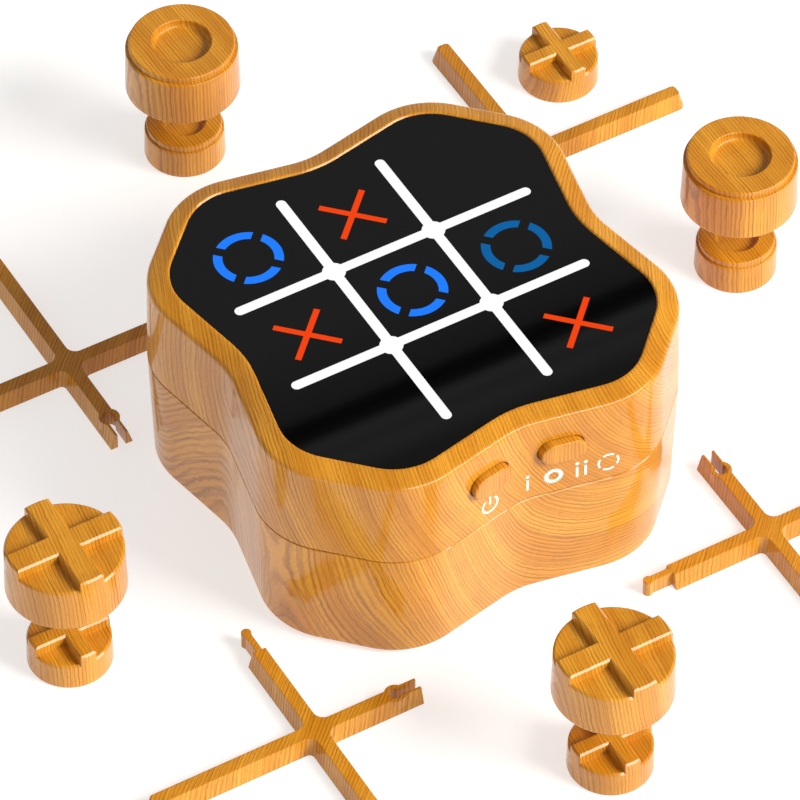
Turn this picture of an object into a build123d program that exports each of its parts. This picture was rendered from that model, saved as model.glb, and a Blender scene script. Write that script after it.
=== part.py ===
"""Tabletop noughts-and-crosses set.

A lobed wood-grain console with a glossy touch screen and two push buttons on its front (-Y) wall, and
round it the loose wooden pieces: four crosses that snap together into a playing grid, and round noughts
and crosses in two sizes, where a large one is a cup that covers a small one.

Millimetres, +Z up. The origin is the middle of the console's base, on the surface that everything stands on.
"""
from build123d import *
import math
import os

os.makedirs("parts", exist_ok=True)

# ------------------------------------------------------------------ driving dimensions
# Console plan: a square with waisted sides, drawn at the screen's edge. Other outlines are parallel to it.
side_reach = 42.5            # centre to the middle of a side
side_tilt = 11.17            # each half side leans outwards by this many degrees
corner_reach = 77.1          # x + y along the straight across each corner
shoulder_radius = 13.8       # two rounded shoulders at each corner
waist_radius = 28.0          # hollow bend in the middle of each side

# Console heights
foot_stand = 0.6             # the feet hold the shell off the table
parting_height = 32.4        # joint between the lower and the upper shell
rim_height = 57.6            # top of the wooden rim
rim_drop = 1.5               # the rim slopes down by this much to its outer edge

# Console offsets from the screen's edge, outwards
rim_flat = 0.9               # level land beside the screen
rim_offset = 5.35            # outer edge of the sloping rim
parting_offset = 5.93        # widest line, at the parting
base_offset = 5.07           # lower edge
wall = 2.2                   # both shells
rim_round = 1.3
base_round = 1.2
parting_bevel = 0.2
parting_gap = 0.2            # shadow line between the two shells
floor_thickness = 2.4
tongue_thickness = 1.0       # lip of the lower shell inside the upper one
tongue_height = 2.0
snug = 0.15                  # gap between pieces that are assembled and stay put
running = 0.25               # gap round pieces that slide

# Screen stack, from the top down
lens_thickness = 1.8
lens_recess = 0.3            # the lens lies this far below the rim
ledge_width = 3.0
ledge_thickness = 2.0
film_thickness = 0.4
baffle_height = 5.6
led_board_thickness = 1.6

# Playing grid on the screen
cell_pitch = 26.0
grid_line_length = 2.965 * cell_pitch
grid_line_width = 2.5
grid_node_radius = 2.7
mark_pitch = 1.046 * cell_pitch       # marks stand a little outside the middle of the outer cells
mark_shift = (-0.46, -0.8)   # all marks sit this far off the grid's own middle
mark_depth = 0.4             # coloured inlays in the lens
ring_outer = 0.31 * cell_pitch
ring_width = 2.15
ring_gap = 2.3
ring_turn = 45.0
cross_bar_length = 0.615 * cell_pitch
cross_bar_width = 1.45

# Display parts
baffle_half = min(side_reach - 5.5, corner_reach / 2 - 1.55)
baffle_corner = 10.0
baffle_wall = 1.5
partition = 1.2
led_side = 5.0
led_height = 1.6
led_dome_radius = 1.9
led_dome_depth = 0.3
chip_side = 9.0              # LED driver and controller
chip_height = 1.4
chip_bevel = 0.25
led_driver_y = 8.0
display_post_x = side_reach + 1.3
display_post_y = 14.0
display_post_radius = 2.2
display_tab_width = 7.0
small_pilot_radius = 0.8
small_head_radius = 1.7
small_head_height = 1.0
small_screw_reach = 3.0
pilot_room = 0.5             # every pilot hole is this much deeper than its screw
head_round_share = 0.45
head_slot_length_share = 1.1
head_slot_width_share = 0.3

# Case screws
boss_place = corner_reach / 2 - 0.55
boss_radius = 4.0
upper_boss_radius = 3.5
screw_radius = 1.35
screw_clearance_radius = 1.6
screw_head_radius = 2.7
screw_head_height = 1.6
counterbore_radius = 3.1
counterbore_depth = parting_height - 13.0
screw_engagement = 9.0

# Push buttons on the front wall
button_length = 10.6
button_height = 6.0
button_x = 9.25              # each side of the middle
button_z = parting_height + 13.75
button_proud = 1.8
button_edge_round = 0.45
button_trim = 3.2            # extra length that the slanting face cuts away
flange_margin = 0.9
flange_thickness = 1.2
flange_front = side_reach + 3.7
press_travel = 1.2
switch_side = 6.0
switch_depth = 3.5
plunger_radius = 1.6
plunger_depth = 2.6
plunger_base = 0.4           # stem left on the button behind its flange
switch_room = 0.4            # free depth behind a pressed plunger
button_board_front = side_reach - 3.0
button_board_thickness = 1.2
button_board_width = 34.0
button_board_height = 15.0
button_board_corner = 1.5
button_board_drop = 1.0      # the board's middle lies this far below the buttons
button_post_radius = 2.0
button_post_levels = (button_z - 5.15, button_z - 0.15)

# Battery bay, under the back half
cell_radius = 5.25
cell_length = 44.5
cell_spacing = 2 * cell_radius + 0.5
cell_count = 3
nipple_radius = 2.4
nipple_length = 1.2
cell_clearance = 0.4         # between the cells and the door
bay_length = cell_length + 5.1
bay_centre_y = 19.0
bay_wall = 1.5
bay_headroom = 0.5
door_thickness = 1.6
door_margin = 1.5
door_ear_radius = 4.2
door_lip = 1.2
door_lip_height = 1.4
door_lip_share = 0.6         # lips run along this share of the bay
door_screw_inset = 1.6
door_screw_reach = 5.5
door_boss_wall = 1.8
door_boss_height = 7.0
grip_count = 3               # finger grooves in the door
grip_length = 16.0
grip_step = 3.0
grip_pitch = 2.2
grip_width = 1.0
grip_depth = 0.5
grip_place_share = 0.3
contact_thickness = 0.4
contact_side = 8.0
spring_wire = 0.6
spring_radius = 2.9
spring_turns = 3

# Speaker and main board, in the front half
speaker_x = 17.0
speaker_y = -20.5
speaker_radius = 14.0
speaker_height = 5.5
speaker_ring_wall = 1.2
speaker_ring_height = 4.0
# Half sections of the speaker as (radius, height above the floor): steel basket and magnet, then paper cone
basket_section = [(0, 1.8), (8.5, 1.8), (11.5, 0), (speaker_radius, 0), (speaker_radius, 1.0),
                  (12.2, 1.6), (9.6, 3.0), (9.0, speaker_height)]
cone_section = [(0, 0.9), (3.2, 0.9), (3.6, 1.4), (8.4, 1.4), (11.3, 0), (11.0, 0),
                (8.2, 1.1), (3.9, 1.1), (3.4, 0.5), (0, 0.5)]
grille_slot_width = 1.6
grille_pitch = 4.0
grille_rows = 2              # on each side of the middle slot
grille_margin = 3.0
board_level = 18.0
board_thickness = 1.6
board_length = 66.0
board_depth = 33.0
board_centre_y = -21.0
board_post_radius = 2.6
board_hole_inset = 3.6
board_corner = 2.0
chip_x = -8.0
connector_x = (-20.0, 0.0, 20.0)
connector_length = 9.0
connector_width = 5.0
connector_height = 4.5
connector_wall = 0.8
connector_depth = 3.5
connector_inset = 4.5

# Feet
foot_x = side_reach + 0.5
foot_y = 26.0
foot_radius = 4.0
foot_height = 1.4
foot_bevel = 0.3

# Loose grid crosses
bar_height = 4.25
bar_top_width = 3.25
bar_base_width = 5.7
bar_inner_round = 1.3
bar_corner_round = 2.2
plain_arm = 43.0             # at the base
joint_arm = 26.15            # shoulder of the tab arm and end of the socket arm
tab_reach = 5.95             # shoulder to the middle of the bulb
tongue_width = 1.6
bulb_radius = 1.2
socket_wall = 1.05
tongue_root = 1.0            # the tongue starts this far inside its arm

# Round pieces: foot radius, shoulder radius, top disc radius, height of the side of a nought and of a cross,
# full height, dish radius and depth, cross bar width, hollow radius and depth
large_piece = dict(foot=13.85, shoulder=13.5, disc=12.75, side_o=12.4, side_x=11.8, height=14.15,
                   dish=7.1, dish_depth=2.3, bar=6.0, hollow=11.3, hollow_depth=10.3)
small_piece = dict(foot=9.88, shoulder=9.62, disc=9.13, side_o=8.0, side_x=7.15, height=9.75,
                   dish=5.1, dish_depth=1.9, bar=4.0, hollow=7.6, hollow_depth=5.6)
piece_edge = 0.45
shoulder_round = 0.36
dish_rim_round = 0.27
dish_round = 1.0
hollow_round = 1.2
cut_over = 1.0               # cutting shapes run past what they cut by this much
same_place = 0.005           # points closer than this are one point

# Where the loose pieces lie: x, y, and quarter turns of the crosses; x, y and lift of the covering pieces
cross_places = {
    "grid_cross_front": (-61.1, -62.8, 0),
    "grid_cross_right": (57.7, -62.7, 1),
    "grid_cross_back": (71.7, 67.7, 2),
    "grid_cross_left": (-56.7, 62.7, 3),
}
nought_places = {"back": (2.3, 113.5, 22.5), "right": (97.2, 14.6, 23.1)}
cross_piece_places = {"left": (-97.0, -13.4, 25.2), "front": (-7.5, -100.9, 26.0)}
spare_cross_place = (93.3, 90.0)

# ------------------------------------------------------------------ levels that follow from the sizes above
rim_edge_height = rim_height - rim_drop
lens_top = rim_height - lens_recess
lens_bottom = lens_top - lens_thickness
ledge_bottom = lens_bottom - ledge_thickness
film_bottom = lens_bottom - film_thickness
baffle_bottom = film_bottom - baffle_height
led_board_bottom = baffle_bottom - led_board_thickness
floor_top = foot_stand + floor_thickness
bay_width = cell_count * cell_spacing + 1.0
door_top = foot_stand + door_thickness
cell_axis_height = door_top + cell_clearance + cell_radius
bay_ceiling = cell_axis_height + cell_radius + bay_headroom
seat_height = foot_stand + counterbore_depth
lower_top = parting_height - parting_gap
four_signs = [(sx, sy) for sx in (-1, 1) for sy in (-1, 1)]


def lobed(offset_out):
    """The console's plan outline, moved outwards by offset_out and kept parallel."""
    slope = math.tan(math.radians(side_tilt))
    reach = side_reach + offset_out / math.cos(math.radians(side_tilt))
    shoulder_y = (corner_reach + offset_out * math.sqrt(2) - reach) / (1 + slope)
    shoulder_x = reach + slope * shoulder_y
    quarter = [(reach, 0), (shoulder_x, shoulder_y), (shoulder_y, shoulder_x)]
    points = [Vector(*corner).rotate(Axis.Z, 90 * turn) for turn in range(4) for corner in quarter]
    radii = [waist_radius - offset_out, shoulder_radius + offset_out, shoulder_radius + offset_out] * 4
    with BuildSketch() as outline:
        with BuildLine():
            FilletPolyline(*points, radius=radii, close=True)
        make_face()
    return outline.sketch


def wall_distance(offset_out, x):
    """How far in front of the origin the front wall's straight half lies at x."""
    tilt = math.radians(side_tilt)
    return side_reach + offset_out / math.cos(tilt) + math.tan(tilt) * abs(x)


def edges_at(part, height):
    """Edges that lie flat at one height."""
    def flat(edge):
        box = edge.bounding_box()
        return abs(box.min.Z - height) < same_place and abs(box.max.Z - height) < same_place
    return part.edges().filter_by(flat)


def wall_offset(height):
    """Outline offset of the upper shell's outer wall at one height."""
    share = (height - parting_height) / (rim_edge_height - parting_height)
    return parting_offset + (rim_offset - parting_offset) * share


def save(part, name):
    """Label one finished piece and write it."""
    part.label = name
    export_step(part, f"parts/{name}.step")


# ------------------------------------------------------------------ upper shell
button_plane = Plane.XZ.offset(side_reach)
button_places = [(-button_x, button_z), (button_x, button_z)]

with BuildPart() as upper_shell:
    with BuildSketch(Plane.XY.offset(parting_height)):
        add(lobed(parting_offset))
    with BuildSketch(Plane.XY.offset(rim_edge_height)):
        add(lobed(rim_offset))
    loft(ruled=True)
    with BuildSketch(Plane.XY.offset(rim_edge_height)):
        add(lobed(rim_offset))
    with BuildSketch(Plane.XY.offset(rim_height)):
        add(lobed(rim_flat))
    loft(ruled=True)
    fillet(edges_at(upper_shell, rim_edge_height), radius=rim_round)
    fillet(edges_at(upper_shell, rim_height), radius=rim_round)
    chamfer(edges_at(upper_shell, parting_height), length=parting_bevel)
    # hollow below the ledge, with the wall's own draft
    with BuildSketch(Plane.XY.offset(parting_height)):
        add(lobed(parting_offset - wall))
    with BuildSketch(Plane.XY.offset(ledge_bottom)):
        add(lobed(wall_offset(ledge_bottom) - wall))
    loft(ruled=True, mode=Mode.SUBTRACT)
    # window, lens seat and the small bevel round it
    with BuildSketch(Plane.XY.offset(ledge_bottom)):
        add(lobed(-ledge_width))
    extrude(amount=ledge_thickness, mode=Mode.SUBTRACT)
    with BuildSketch(Plane.XY.offset(lens_bottom)):
        add(lobed(snug))
    extrude(amount=rim_height - lens_bottom, mode=Mode.SUBTRACT)
    with BuildSketch(Plane.XY.offset(lens_top)):
        add(lobed(snug))
    with BuildSketch(Plane.XY.offset(rim_height)):
        add(lobed(snug + lens_recess))
    loft(ruled=True, mode=Mode.SUBTRACT)
    # rebate for the lower shell's tongue
    with BuildSketch(Plane.XY.offset(parting_height)):
        add(lobed(parting_offset - wall + tongue_thickness + snug))
    extrude(amount=tongue_height + snug, mode=Mode.SUBTRACT)
    # screw bosses in the corners
    with BuildSketch(Plane.XY.offset(ledge_bottom)):
        with Locations(*[(sx * boss_place, sy * boss_place) for sx, sy in four_signs]):
            Circle(upper_boss_radius)
    extrude(amount=parting_height + snug - ledge_bottom)
    with BuildSketch(Plane.XY.offset(parting_height)):
        with Locations(*[(sx * boss_place, sy * boss_place) for sx, sy in four_signs]):
            Circle(screw_radius)
    extrude(amount=screw_engagement + pilot_room, mode=Mode.SUBTRACT)
    # posts that carry the LED board
    with BuildSketch(Plane.XY.offset(ledge_bottom)):
        with Locations(*[(sx * display_post_x, sy * display_post_y) for sx, sy in four_signs]):
            Circle(display_post_radius)
    extrude(amount=baffle_bottom - ledge_bottom)
    with BuildSketch(Plane.XY.offset(baffle_bottom)):
        with Locations(*[(sx * display_post_x, sy * display_post_y) for sx, sy in four_signs]):
            Circle(small_pilot_radius)
    extrude(amount=small_screw_reach + pilot_room, mode=Mode.SUBTRACT)
    # posts for the button board, on the middle of the front wall
    with BuildSketch(Plane.XZ.offset(button_board_front)):
        with Locations(*[(0, level) for level in button_post_levels]):
            Circle(button_post_radius)
    extrude(amount=side_reach + rim_offset - wall - button_board_front + 1.0)
    with BuildSketch(Plane.XZ.offset(button_board_front)):
        with Locations(*[(0, level) for level in button_post_levels]):
            Circle(small_pilot_radius)
    extrude(amount=small_screw_reach + pilot_room, mode=Mode.SUBTRACT)
    # the two button holes
    with BuildSketch(button_plane):
        with Locations(*button_places):
            SlotOverall(button_length + 2 * running, button_height + 2 * running)
    extrude(amount=wall_distance(parting_offset, button_x + button_length) - side_reach, mode=Mode.SUBTRACT)
save(upper_shell.part, "upper_shell")

# ------------------------------------------------------------------ lower shell
bay_outer_length = bay_length + 2 * bay_wall
bay_outer_width = bay_width + 2 * bay_wall
door_length = bay_length + 2 * door_margin
door_width = bay_width + 2 * door_margin
door_screw_y = bay_centre_y + door_width / 2 + door_screw_inset
board_posts = [(sx * (board_length / 2 - board_hole_inset),
                board_centre_y + sy * (board_depth / 2 - board_hole_inset)) for sx, sy in four_signs]
case_screw_places = [(sx * boss_place, sy * boss_place) for sx, sy in four_signs]

with BuildPart() as lower_shell:
    with BuildSketch(Plane.XY.offset(foot_stand)):
        add(lobed(base_offset))
    with BuildSketch(Plane.XY.offset(lower_top)):
        add(lobed(parting_offset))
    loft(ruled=True)
    fillet(edges_at(lower_shell, foot_stand), radius=base_round)
    chamfer(edges_at(lower_shell, lower_top), length=parting_bevel)
    with BuildSketch(Plane.XY.offset(floor_top)):
        add(lobed(base_offset - wall))
    with BuildSketch(Plane.XY.offset(lower_top)):
        add(lobed(parting_offset - wall))
    loft(ruled=True, mode=Mode.SUBTRACT)
    # tongue that locates the upper shell
    with BuildSketch(Plane.XY.offset(parting_height - tongue_height)):
        add(lobed(parting_offset - wall + tongue_thickness))
        add(lobed(parting_offset - wall), mode=Mode.SUBTRACT)
    extrude(amount=2 * tongue_height)
    # battery bay, main board posts, screw bosses and speaker ring stand on the floor
    with BuildSketch(Plane.XY.offset(floor_top)):
        with Locations((0, bay_centre_y)):
            Rectangle(bay_outer_length, bay_outer_width)
    extrude(amount=bay_ceiling + bay_wall - floor_top)
    with BuildSketch(Plane.XY.offset(floor_top)):
        with Locations(*board_posts):
            Circle(board_post_radius)
    extrude(amount=board_level - floor_top)
    with BuildSketch(Plane.XY.offset(floor_top)):
        with Locations(*case_screw_places):
            Circle(boss_radius)
    extrude(amount=lower_top - floor_top)
    with BuildSketch(Plane.XY.offset(floor_top)):
        with Locations((speaker_x, speaker_y)):
            Circle(speaker_radius + snug + speaker_ring_wall)
            Circle(speaker_radius + snug, mode=Mode.SUBTRACT)
    extrude(amount=speaker_ring_height)
    with BuildSketch(Plane.XY.offset(floor_top)):
        with Locations((0, door_screw_y)):
            Circle(screw_radius + door_boss_wall)
    extrude(amount=door_boss_height)
    # hollows: bay, door recess, screw holes, pilot holes, foot recesses and speaker slots
    with BuildSketch(Plane.XY.offset(foot_stand)):
        with Locations((0, bay_centre_y)):
            Rectangle(bay_length, bay_width)
    extrude(amount=bay_ceiling - foot_stand, mode=Mode.SUBTRACT)
    with BuildSketch(Plane.XY.offset(foot_stand)):
        with Locations((0, bay_centre_y)):
            Rectangle(door_length + 2 * running, door_width + 2 * running)
        with Locations((0, door_screw_y)):
            Circle(door_ear_radius + running)
    extrude(amount=door_thickness + snug, mode=Mode.SUBTRACT)
    with BuildSketch(Plane.XY.offset(foot_stand)):
        with Locations((0, door_screw_y)):
            Circle(screw_radius + running)
    extrude(amount=door_thickness + door_screw_reach + pilot_room, mode=Mode.SUBTRACT)
    with BuildSketch(Plane.XY.offset(foot_stand)):
        with Locations(*case_screw_places):
            Circle(counterbore_radius)
    extrude(amount=counterbore_depth, mode=Mode.SUBTRACT)
    with BuildSketch(Plane.XY.offset(seat_height)):
        with Locations(*case_screw_places):
            Circle(screw_clearance_radius)
    extrude(amount=parting_height - seat_height, mode=Mode.SUBTRACT)
    with BuildSketch(Plane.XY.offset(board_level)):
        with Locations(*board_posts):
            Circle(small_pilot_radius)
    extrude(amount=-small_screw_reach - pilot_room, mode=Mode.SUBTRACT)
    with BuildSketch(Plane.XY.offset(foot_stand)):
        with Locations(*[(sx * foot_x, sy * foot_y) for sx, sy in four_signs]):
            Circle(foot_radius + snug)
    extrude(amount=foot_height - foot_stand, mode=Mode.SUBTRACT)
    with BuildSketch(Plane.XY.offset(foot_stand)):
        for row in range(-grille_rows, grille_rows + 1):
            chord = 2 * math.sqrt((speaker_radius - grille_margin) ** 2 - (row * grille_pitch) ** 2)
            with Locations((speaker_x, speaker_y + row * grille_pitch)):
                SlotOverall(chord, grille_slot_width)
    extrude(amount=floor_thickness, mode=Mode.SUBTRACT)
save(lower_shell.part, "lower_shell")

# ------------------------------------------------------------------ screen lens and its inlaid marks
bright_rings = [(-1, 1), (0, 0)]        # column and row, counted from the middle cell
dim_rings = [(1, 0)]
crosses = [(0, 1), (-1, 0), (1, -1)]
grid_offsets = (-cell_pitch / 2, cell_pitch / 2)


def mark_centres(cells):
    """Where the marks of some cells lie on the screen."""
    return [(column * mark_pitch + mark_shift[0], row * mark_pitch + mark_shift[1]) for column, row in cells]


def ring_marks(cells):
    """Rings cut into four arcs."""
    with BuildSketch() as marks:
        with Locations(*mark_centres(cells)):
            Circle(ring_outer)
            Circle(ring_outer - ring_width, mode=Mode.SUBTRACT)
            Rectangle(3 * ring_outer, ring_gap, rotation=ring_turn, mode=Mode.SUBTRACT)
            Rectangle(ring_gap, 3 * ring_outer, rotation=ring_turn, mode=Mode.SUBTRACT)
    return marks.sketch


def cross_marks(cells):
    """Diagonal crosses of two thin bars."""
    with BuildSketch() as marks:
        with Locations(*mark_centres(cells)):
            Rectangle(cross_bar_length, cross_bar_width, rotation=45)
            Rectangle(cross_bar_length, cross_bar_width, rotation=-45)
    return marks.sketch


def grid_marks():
    """Four round-ended lines with a round node at each crossing."""
    with BuildSketch() as marks:
        with Locations(*[(0, offset_y) for offset_y in grid_offsets]):
            SlotOverall(grid_line_length, grid_line_width)
        with Locations(*[(offset_x, 0) for offset_x in grid_offsets]):
            SlotOverall(grid_line_length, grid_line_width, rotation=90)
        with Locations(*[(x, y) for x in grid_offsets for y in grid_offsets]):
            Circle(grid_node_radius)
    return marks.sketch


mark_plane = Plane.XY.offset(lens_top - mark_depth)
mark_sets = {
    "grid_lines": grid_marks(),
    "bright_noughts": ring_marks(bright_rings),
    "dim_nought": ring_marks(dim_rings),
    "red_crosses": cross_marks(crosses),
}

with BuildPart() as screen_lens:
    with BuildSketch(Plane.XY.offset(lens_bottom)):
        add(lobed(0))
    extrude(amount=lens_thickness)
    for mark_sketch in mark_sets.values():
        with BuildSketch(mark_plane):
            add(mark_sketch)
        extrude(amount=mark_depth, mode=Mode.SUBTRACT)
save(screen_lens.part, "screen_lens")

for mark_name, mark_sketch in mark_sets.items():
    with BuildPart() as inlay:
        with BuildSketch(mark_plane):
            add(mark_sketch)
        extrude(amount=mark_depth)
    save(inlay.part, mark_name)

# ------------------------------------------------------------------ display behind the lens
with BuildPart() as touch_film:
    with BuildSketch(Plane.XY.offset(film_bottom)):
        add(lobed(-ledge_width - running))
    extrude(amount=film_thickness)
save(touch_film.part, "touch_film")

with BuildPart() as light_baffle:
    with BuildSketch(Plane.XY.offset(baffle_bottom)):
        RectangleRounded(2 * baffle_half, 2 * baffle_half, baffle_corner)
        RectangleRounded(2 * (baffle_half - baffle_wall), 2 * (baffle_half - baffle_wall),
                         baffle_corner - baffle_wall, mode=Mode.SUBTRACT)
        for offset_xy in grid_offsets:
            with Locations((0, offset_xy)):
                Rectangle(2 * baffle_half - baffle_wall, partition)
            with Locations((offset_xy, 0)):
                Rectangle(partition, 2 * baffle_half - baffle_wall)
    extrude(amount=baffle_height)
save(light_baffle.part, "light_baffle")

display_posts = [(sx * display_post_x, sy * display_post_y) for sx, sy in four_signs]
with BuildPart() as led_board:
    with BuildSketch(Plane.XY.offset(led_board_bottom)):
        RectangleRounded(2 * baffle_half, 2 * baffle_half, baffle_corner)
        with Locations(*[(0, sy * display_post_y) for sy in (-1, 1)]):
            SlotOverall(2 * display_post_x + display_tab_width, display_tab_width)
        with Locations(*display_posts):
            Circle(small_pilot_radius + snug, mode=Mode.SUBTRACT)
    extrude(amount=led_board_thickness)
save(led_board.part, "led_board")

led_places = [(x * cell_pitch, y * cell_pitch) for x in (-1, 0, 1) for y in (-1, 0, 1)]
with BuildPart() as cell_leds:
    with Locations(*[(x, y, baffle_bottom) for x, y in led_places]):
        Box(led_side, led_side, led_height, align=(Align.CENTER, Align.CENTER, Align.MIN))
    with Locations(*[(x, y, baffle_bottom + led_height) for x, y in led_places]):
        Cylinder(led_dome_radius, led_dome_depth, align=(Align.CENTER, Align.CENTER, Align.MAX),
                 mode=Mode.SUBTRACT)
save(cell_leds.part, "cell_leds")

with BuildPart() as led_driver:
    with Locations((0, led_driver_y, led_board_bottom)):
        Box(chip_side, chip_side, chip_height, align=(Align.CENTER, Align.CENTER, Align.MAX))
    chamfer(led_driver.edges().group_by(Axis.Z)[0], length=chip_bevel)
save(led_driver.part, "led_driver")

# ------------------------------------------------------------------ screws
def screw(radius, reach, head_radius, head_height):
    """A pan-head screw standing on its head's underside at z = 0, with the shank up and the head below."""
    with BuildPart() as body:
        Cylinder(radius, reach, align=(Align.CENTER, Align.CENTER, Align.MIN))
        Cylinder(head_radius, head_height, align=(Align.CENTER, Align.CENTER, Align.MAX))
        fillet(edges_at(body, -head_height), radius=head_height * head_round_share)
        with Locations((0, 0, -head_height)):
            for turn in (0, 90):
                Box(head_radius * head_slot_length_share, head_radius * head_slot_width_share, head_height,
                    rotation=(0, 0, turn), mode=Mode.SUBTRACT)
    return body.part


with BuildPart() as case_screws:
    with Locations(*[(x, y, seat_height) for x, y in case_screw_places]):
        add(screw(screw_radius, parting_height + screw_engagement - seat_height,
                  screw_head_radius, screw_head_height))
save(case_screws.part, "case_screws")

with BuildPart() as display_screws:
    with Locations(*[(x, y, led_board_bottom) for x, y in display_posts]):
        add(screw(small_pilot_radius, led_board_thickness + small_screw_reach,
                  small_head_radius, small_head_height))
save(display_screws.part, "display_screws")

with BuildPart() as board_screws:
    with Locations(*[Location((x, y, board_level + board_thickness), (180, 0, 0)) for x, y in board_posts]):
        add(screw(small_pilot_radius, board_thickness + small_screw_reach,
                  small_head_radius, small_head_height))
save(board_screws.part, "board_screws")

button_board_back = button_board_front - button_board_thickness
with BuildPart() as button_board_screws:
    with Locations(*[Location((0, -button_board_back, level), (90, 0, 0)) for level in button_post_levels]):
        add(screw(small_pilot_radius, button_board_thickness + small_screw_reach,
                  small_head_radius, small_head_height))
save(button_board_screws.part, "button_board_screws")

# ------------------------------------------------------------------ push buttons and their switches
plunger_front = flange_front - flange_thickness - plunger_base
switch_front = button_board_front + switch_depth
switch_hole_depth = plunger_depth - (plunger_front - switch_front) + press_travel + switch_room

for side, button_name, plunger_name in (
        (-1, "power_button", "power_plunger"),
        (1, "mode_button", "mode_plunger")):
    face_distance = wall_distance(wall_offset(button_z), button_x) + button_proud
    face_normal = Vector(0, -1, 0).rotate(Axis.Z, -side * side_tilt)
    face_plane = Plane(origin=(side * button_x, -face_distance, button_z), z_dir=face_normal)
    with BuildPart() as button:
        with BuildSketch(Plane.XZ.offset(flange_front)):
            with Locations((side * button_x, button_z)):
                SlotOverall(button_length, button_height)
        extrude(amount=face_distance - flange_front + button_trim)
        split(bisect_by=face_plane, keep=Keep.BOTTOM)
        fillet(button.faces().sort_by(Axis.Y)[0].edges(), radius=button_edge_round)
        with BuildSketch(Plane.XZ.offset(flange_front - flange_thickness)):
            with Locations((side * button_x, button_z)):
                SlotOverall(button_length + 2 * flange_margin, button_height + 2 * flange_margin)
        extrude(amount=flange_thickness)
        with BuildSketch(Plane.XZ.offset(plunger_front)):
            with Locations((side * button_x, button_z)):
                Circle(plunger_radius)
        extrude(amount=flange_front - flange_thickness - plunger_front)
    save(button.part, button_name)
    with BuildPart() as plunger:
        with BuildSketch(Plane.XZ.offset(plunger_front)):
            with Locations((side * button_x, button_z)):
                Circle(plunger_radius)
        extrude(amount=-plunger_depth)
    save(plunger.part, plunger_name)

with BuildPart() as press_switches:
    with BuildSketch(Plane.XZ.offset(button_board_front)):
        with Locations(*button_places):
            Rectangle(switch_side, switch_side)
    extrude(amount=switch_depth)
    with BuildSketch(Plane.XZ.offset(switch_front)):
        with Locations(*button_places):
            Circle(plunger_radius + snug)
    extrude(amount=-switch_hole_depth, mode=Mode.SUBTRACT)
save(press_switches.part, "press_switches")

with BuildPart() as button_board:
    with BuildSketch(Plane.XZ.offset(button_board_back)):
        with Locations((0, button_z - button_board_drop)):
            RectangleRounded(button_board_width, button_board_height, button_board_corner)
        with Locations(*[(0, level) for level in button_post_levels]):
            Circle(small_pilot_radius + snug, mode=Mode.SUBTRACT)
    extrude(amount=button_board_thickness)
save(button_board.part, "button_board")

# ------------------------------------------------------------------ batteries, contacts and door
cell_rows = [bay_centre_y + (index - (cell_count - 1) / 2) * cell_spacing for index in range(cell_count)]
flat_contact_x = bay_length / 2 - contact_thickness
cell_ways = [1 if index % 2 == 0 else -1 for index in range(cell_count)]

with BuildPart() as battery_cells:
    for way, row_y in zip(cell_ways, cell_rows):
        tip = way * flat_contact_x
        with BuildSketch(Plane(origin=(tip, row_y, cell_axis_height), z_dir=(-way, 0, 0))):
            Circle(nipple_radius)
        extrude(amount=nipple_length)
        shoulder = tip - way * nipple_length
        with BuildSketch(Plane(origin=(shoulder, row_y, cell_axis_height), z_dir=(-way, 0, 0))):
            Circle(cell_radius)
        extrude(amount=cell_length - nipple_length)
save(battery_cells.part, "battery_cells")

spring_height = bay_length - 2 * contact_thickness - cell_length
with BuildPart() as contact_plates:
    for row_y in cell_rows:
        with Locations((-bay_length / 2, row_y, cell_axis_height)):
            Box(contact_thickness, contact_side, contact_side, align=(Align.MIN, Align.CENTER, Align.CENTER))
        with Locations((bay_length / 2, row_y, cell_axis_height)):
            Box(contact_thickness, contact_side, contact_side, align=(Align.MAX, Align.CENTER, Align.CENTER))
save(contact_plates.part, "contact_plates")


def contact_spring(height):
    """A coil of round wire, standing on z = 0."""
    coil_rise = height - spring_wire
    with BuildPart() as coil:
        with BuildLine(Plane.XY.offset(spring_wire / 2)) as path:
            Helix(pitch=coil_rise / spring_turns, height=coil_rise, radius=spring_radius)
        with BuildSketch(Plane(origin=path.line @ 0, z_dir=path.line % 0)):
            Circle(spring_wire / 2)
        sweep()
    return coil.part


spring_part = contact_spring(spring_height)
with BuildPart() as contact_springs:
    for way, row_y in zip(cell_ways, cell_rows):
        with Locations(Location((-way * flat_contact_x, row_y, cell_axis_height), (0, way * 90, 0))):
            add(spring_part)
save(contact_springs.part, "contact_springs")

with BuildPart() as battery_door:
    with BuildSketch(Plane.XY.offset(foot_stand)):
        with Locations((0, bay_centre_y)):
            Rectangle(door_length, door_width)
        with Locations((0, door_screw_y)):
            Circle(door_ear_radius)
        with Locations((0, door_screw_y)):
            Circle(screw_radius + snug, mode=Mode.SUBTRACT)
    extrude(amount=door_thickness)
    with BuildSketch(Plane.XY.offset(door_top)):
        for sy in (-1, 1):
            with Locations((0, bay_centre_y + sy * (bay_width / 2 - running - door_lip / 2))):
                Rectangle(bay_length * door_lip_share, door_lip)
    extrude(amount=door_lip_height)
    with BuildSketch(Plane.XY.offset(foot_stand)):
        for row in range(grip_count):
            with Locations((0, bay_centre_y - bay_width * grip_place_share - row * grip_pitch)):
                SlotOverall(grip_length - row * grip_step, grip_width)
    extrude(amount=grip_depth, mode=Mode.SUBTRACT)
    with BuildSketch(Plane.XY.offset(foot_stand)):
        with Locations((0, door_screw_y)):
            Circle(small_head_radius + running)
    extrude(amount=small_head_height, mode=Mode.SUBTRACT)
save(battery_door.part, "battery_door")

with BuildPart() as door_screw:
    with Locations((0, door_screw_y, foot_stand + small_head_height)):
        add(screw(screw_radius, door_screw_reach, small_head_radius, small_head_height))
save(door_screw.part, "door_screw")

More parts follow.
